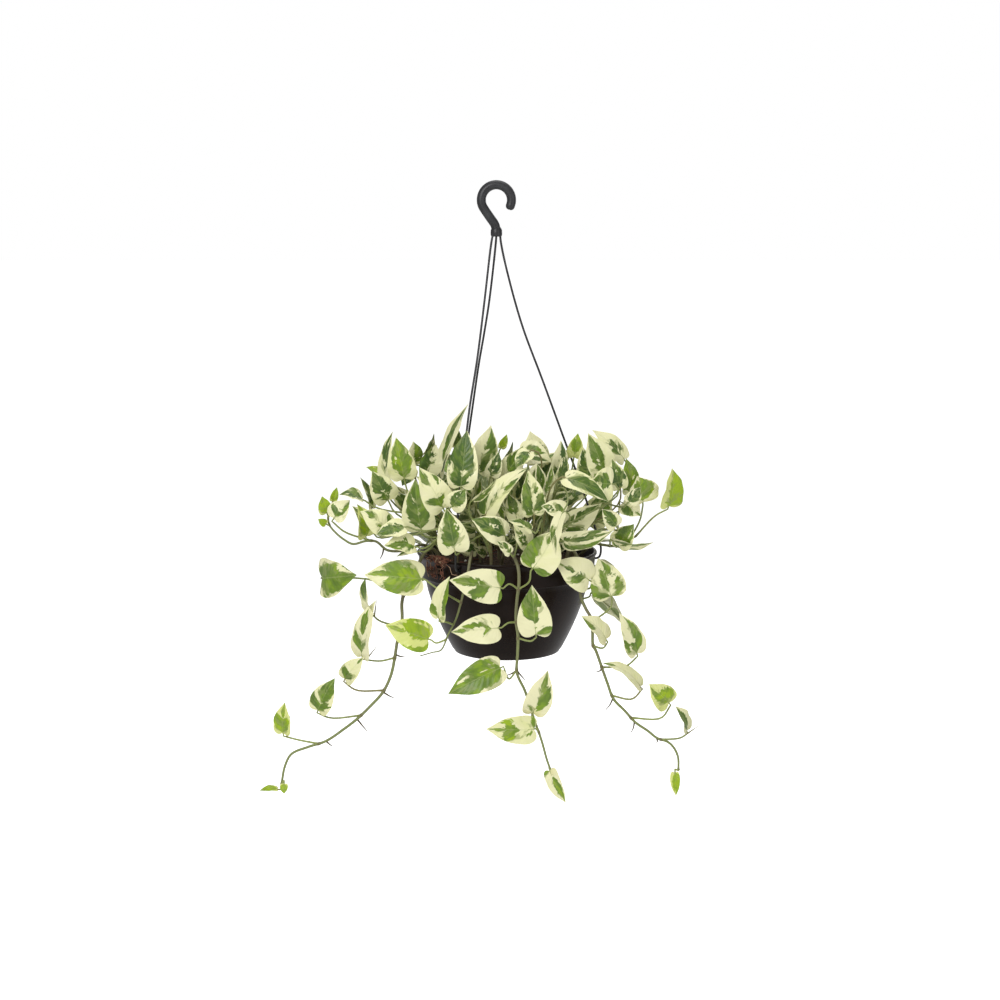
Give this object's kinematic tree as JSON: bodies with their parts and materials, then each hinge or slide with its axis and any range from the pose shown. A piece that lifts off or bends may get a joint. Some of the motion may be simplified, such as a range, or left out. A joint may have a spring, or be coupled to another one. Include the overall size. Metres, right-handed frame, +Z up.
{
  "type": "potted njoy pothos",
  "caption": "Trailing pothos with cream and green leaves in a dark plastic pot, hung by a hanger with a hook and strands",
  "frame": {"origin": "the inner top of the hook, where it rests on what holds it; the pot's rim is 397 mm below it and the pot's axis 11.7 mm to its right", "axes": "+Z up; the front that the picture shows is toward -Y; the strand that hangs apart from the other two is on the +X side"},
  "size_m": [0.4684, 0.2958, 0.6607],
  "materials": {
    "pot_plastic": "dark brown-black, satin, with soft grey reflections",
    "hanger_plastic": "near-black moulded plastic with a soft sheen",
    "potting_soil": "dark, crumbly and matt, with coir fibres and a few white beads",
    "vine_leaf": "waxy, bright green blotches on cream",
    "crown_leaf": "waxy, mid green and grey-green blotches with cream margins"
  },
  "bodies": {
    "root": {"pot": "pot_plastic", "hook": "hanger_plastic", "strands": "hanger_plastic", "soil": "potting_soil", "left_vine": "vine_leaf", "front_left_vine": "vine_leaf", "front_vine": "vine_leaf", "right_vine": "vine_leaf", "left_runner": "vine_leaf", "right_runner": "vine_leaf", "back_vine_1": "vine_leaf", "back_vine_2": "vine_leaf", "back_vine_3": "vine_leaf", "crown_shoot_1": "crown_leaf", "crown_shoot_2": "crown_leaf", "crown_shoot_3": "crown_leaf", "crown_shoot_4": "crown_leaf", "crown_shoot_5": "crown_leaf", "crown_shoot_6": "crown_leaf", "crown_shoot_7": "crown_leaf", "crown_shoot_8": "crown_leaf", "crown_shoot_9": "crown_leaf", "crown_shoot_10": "crown_leaf", "crown_shoot_11": "crown_leaf", "crown_shoot_12": "crown_leaf", "crown_shoot_13": "crown_leaf", "crown_shoot_14": "crown_leaf", "crown_shoot_15": "crown_leaf", "crown_shoot_16": "crown_leaf", "crown_shoot_17": "crown_leaf", "crown_shoot_18": "crown_leaf", "crown_shoot_19": "crown_leaf"}
  },
  "joints": []
}
